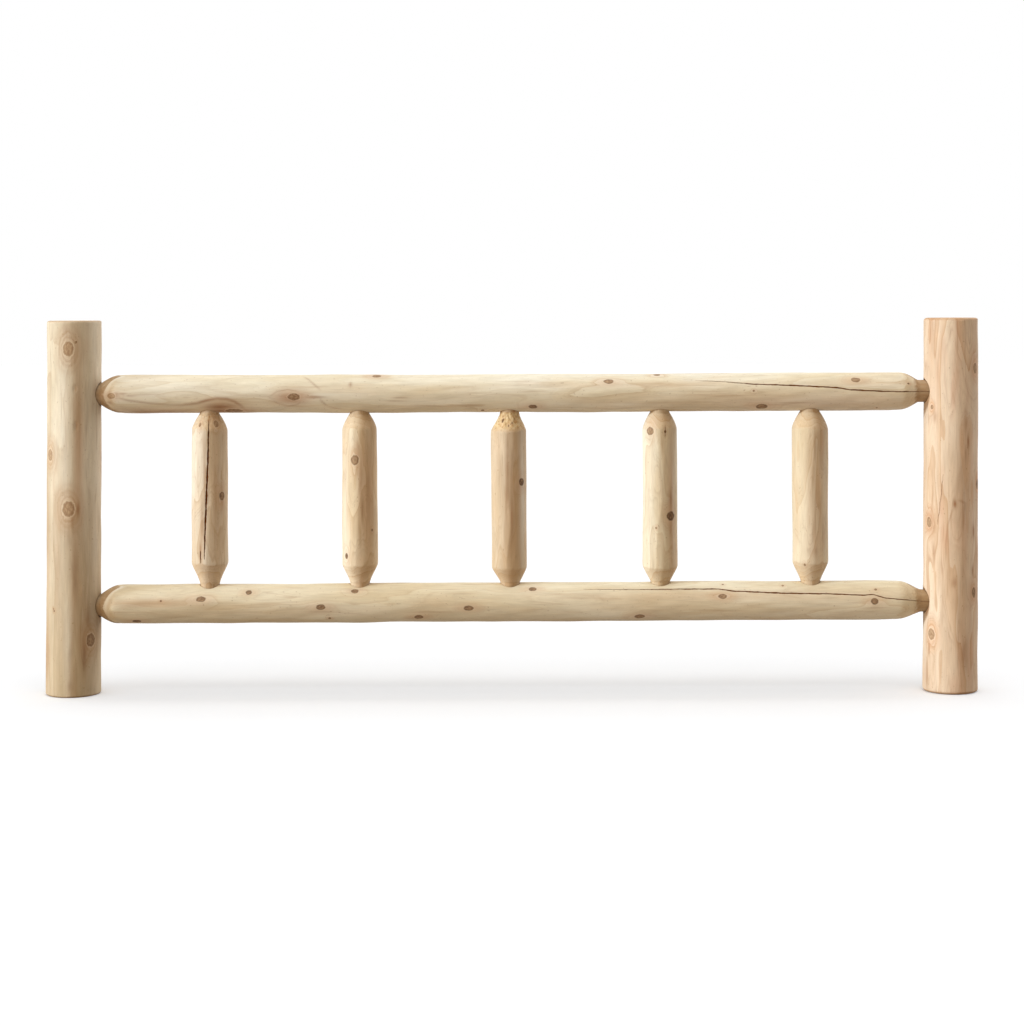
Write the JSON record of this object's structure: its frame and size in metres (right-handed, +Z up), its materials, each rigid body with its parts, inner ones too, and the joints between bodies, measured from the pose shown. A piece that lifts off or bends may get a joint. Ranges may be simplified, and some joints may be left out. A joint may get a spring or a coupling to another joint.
{
  "type": "rustic log bed footboard",
  "caption": "Low log bed footboard: stout round posts joined by round log rails with tapered ends, and short upright log spindles tenoned between the rails.",
  "frame": {"origin": "on the floor, midway between the posts and in the middle of their depth", "axes": "+X across the bed from the left post to the right post seen from the foot end, +Y towards the mattress, +Z up"},
  "size_m": [1.7288, 0.1004, 0.69],
  "materials": {
    "post_log": "peeled cedar log, sanded, clear satin lacquer",
    "rail_log": "peeled cedar log, sanded, clear satin lacquer",
    "spindle_log": "peeled cedar log, sanded, clear satin lacquer",
    "steel": "bright zinc"
  },
  "bodies": {
    "root": {"post_left": "post_log", "post_right": "post_log", "rail_top": "rail_log", "rail_bottom": "rail_log", "spindle_1": "spindle_log", "spindle_2": "spindle_log", "spindle_3": "spindle_log", "spindle_4": "spindle_log", "spindle_5": "spindle_log", "tenon_screws_left": "steel", "tenon_screws_right": "steel", "spindle_brads_top": "steel", "spindle_brads_bottom": "steel"}
  },
  "joints": []
}
